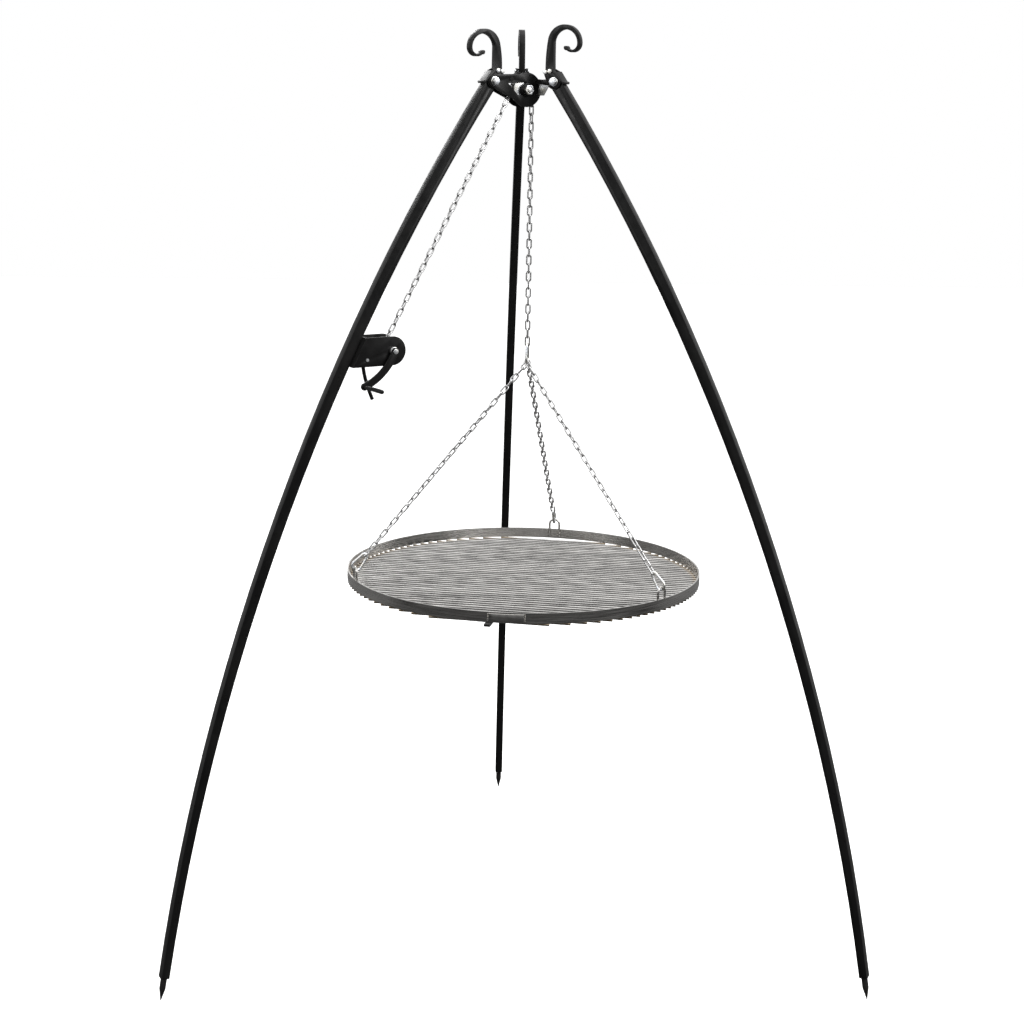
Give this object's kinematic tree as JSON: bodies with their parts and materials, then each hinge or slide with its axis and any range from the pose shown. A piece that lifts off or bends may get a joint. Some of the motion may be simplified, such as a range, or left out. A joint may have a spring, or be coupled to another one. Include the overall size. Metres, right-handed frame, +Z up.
{
  "type": "campfire tripod grate",
  "caption": "Bowed three-legged campfire tripod with scroll finials, crank winch and chain, and a round rod grate hung on bridle chains.",
  "frame": {"origin": "middle of the footprint's bounding box, on the ground", "axes": "+Z up, the rear leg stands on +Y of the hub, the winch leg is on -X, the open front faces -Y"},
  "size_m": [1.3388, 1.1612, 1.7926],
  "materials": {
    "black_coat": "satin",
    "black_steel": "matte",
    "zinc": "satin",
    "chain_zinc": "satin",
    "snap_hook": "polished",
    "stainless": "polished"
  },
  "bodies": {
    "hub": {"pulley_cheek_front": "black_coat", "pulley_cheek_back": "black_coat", "cheek_spacer": "black_coat", "hub_arm_right": "black_coat", "hub_arm_rear": "black_coat", "hub_web_right": "zinc", "hub_web_rear": "zinc", "fork_left": "black_coat", "fork_right": "black_coat", "fork_rear": "black_coat", "pulley_axle": "zinc", "pulley_nut": "zinc", "pivot_bolts": "zinc", "pivot_nuts": "zinc", "pivot_washers": "zinc", "scroll_left": "black_coat", "scroll_right": "black_coat", "scroll_rear": "black_coat", "scroll_screws": "zinc", "chain_on_pulley": "chain_zinc"},
    "pulley_wheel": {"pulley": "zinc"},
    "leg_left": {"leg_tube_left": "black_coat", "pivot_sleeve_left": "zinc", "foot_spike_left": "black_steel", "winch_housing": "black_coat", "winch_bolts": "zinc", "hook_pin": "zinc", "chain_winch_run": "chain_zinc"},
    "leg_right": {"leg_tube_right": "black_coat", "pivot_sleeve_right": "zinc", "foot_spike_right": "black_steel"},
    "leg_rear": {"leg_tube_rear": "black_coat", "pivot_sleeve_rear": "zinc", "foot_spike_rear": "black_steel"},
    "crank": {"winch_drum": "black_steel", "chain_on_drum": "chain_zinc", "winch_axle": "zinc", "crank_arm": "black_coat", "crank_handle": "black_coat"},
    "lock": {"lock_hook": "black_coat"},
    "chain_head": {"chain_top_link": "chain_zinc"},
    "chain_run": {"chain_drop": "chain_zinc"},
    "chain_tail": {"chain_end_link": "chain_zinc"},
    "grate": {"hoist_carabiner": "snap_hook", "bridle_chain_a": "chain_zinc", "bridle_chain_b": "chain_zinc", "bridle_chain_c": "chain_zinc", "hook_carabiner_a": "snap_hook", "hook_carabiner_b": "snap_hook", "hook_carabiner_c": "snap_hook", "hanging_bails": "stainless", "grate_rim": "stainless", "rim_lap_plate": "stainless", "grate_rods": "stainless", "cross_bar": "stainless"},
    "gate_hoist": {"hoist_gate": "snap_hook"},
    "gate_a": {"hook_gate_a": "snap_hook"},
    "gate_b": {"hook_gate_b": "snap_hook"},
    "gate_c": {"hook_gate_c": "snap_hook"}
  },
  "joints": [
    {"name": "leg_left_fold", "type": "hinge", "parent": "hub", "child": "leg_left", "pos_m": [-0.06124, -0.22492, 1.688], "axis": [0.5, -0.866, 0], "range_deg": [0, 5], "deforming": ["chain_winch_run"]},
    {"name": "leg_right_fold", "type": "hinge", "parent": "hub", "child": "leg_right", "pos_m": [0.06124, -0.22492, 1.688], "axis": [0.5, 0.866, 0], "range_deg": [0, 5]},
    {"name": "leg_rear_fold", "type": "hinge", "parent": "hub", "child": "leg_rear", "pos_m": [0, -0.11885, 1.688], "axis": [-1, 0, 0], "range_deg": [0, 5]},
    {"name": "pulley_turn", "type": "hinge", "parent": "hub", "child": "pulley_wheel", "pos_m": [0, -0.18957, 1.672], "axis": [-0.5, 0.866, 0], "range_deg": [-890, 5]},
    {"name": "crank_turn", "type": "hinge", "parent": "leg_left", "child": "crank", "pos_m": [-0.25115, -0.33457, 1.196], "axis": [-0.5, 0.866, 0], "range_deg": [-1130, 5]},
    {"name": "lock_hook_swing", "type": "hinge", "parent": "leg_left", "child": "lock", "pos_m": [-0.29791, -0.36157, 1.182], "axis": [-0.5, 0.866, 0], "range_deg": [-12, 12]},
    {"name": "grate_swing_x", "type": "hinge", "parent": "hub", "child": "chain_head", "pos_m": [0.01754, -0.17944, 1.672], "axis": [1, 0, 0], "range_deg": [-4, 4]},
    {"name": "grate_swing_y", "type": "hinge", "parent": "chain_head", "child": "chain_run", "pos_m": [0.01754, -0.17944, 1.672], "axis": [0, 1, 0], "range_deg": [-4, 4]},
    {"name": "chain_payout", "type": "slide", "parent": "chain_run", "child": "chain_tail", "axis": [0, 0, -1], "range_m": [-0.3, 0], "deforming": ["chain_drop"]},
    {"name": "grate_turn", "type": "hinge", "parent": "chain_tail", "child": "grate", "pos_m": [0.01754, -0.17944, 1.16], "axis": [0, 0, 1], "range_deg": [-8, 8]},
    {"name": "gate_hoist_open", "type": "hinge", "parent": "grate", "child": "gate_hoist", "pos_m": [0.0189, -0.17376, 1.18112], "axis": [-0.9724, 0.2334, 0], "range_deg": [0, 15], "stiffness_Nm_per_rad": 0.01, "springref_deg": -5.73},
    {"name": "gate_a_open", "type": "hinge", "parent": "grate", "child": "gate_a", "pos_m": [0.09301, 0.13492, 0.77814], "axis": [0.9724, -0.2334, 0], "range_deg": [0, 15], "stiffness_Nm_per_rad": 0.01, "springref_deg": -5.73},
    {"name": "gate_b_open", "type": "hinge", "parent": "grate", "child": "gate_b", "pos_m": [-0.29226, -0.27122, 0.77789], "axis": [-0.2837, 0.9589, 0.0004], "range_deg": [0, 15], "stiffness_Nm_per_rad": 0.01, "springref_deg": -5.73},
    {"name": "gate_c_open", "type": "hinge", "parent": "grate", "child": "gate_c", "pos_m": [0.25181, -0.40214, 0.77806], "axis": [-0.6832, -0.7302, -0.0081], "range_deg": [0, 15], "stiffness_Nm_per_rad": 0.01, "springref_deg": -5.73}
  ],
  "couplings": [
    {"joint": "pulley_turn", "follows": "chain_payout", "rad_per_m": 51.007},
    {"joint": "crank_turn", "follows": "chain_payout", "rad_per_m": 65.437}
  ]
}
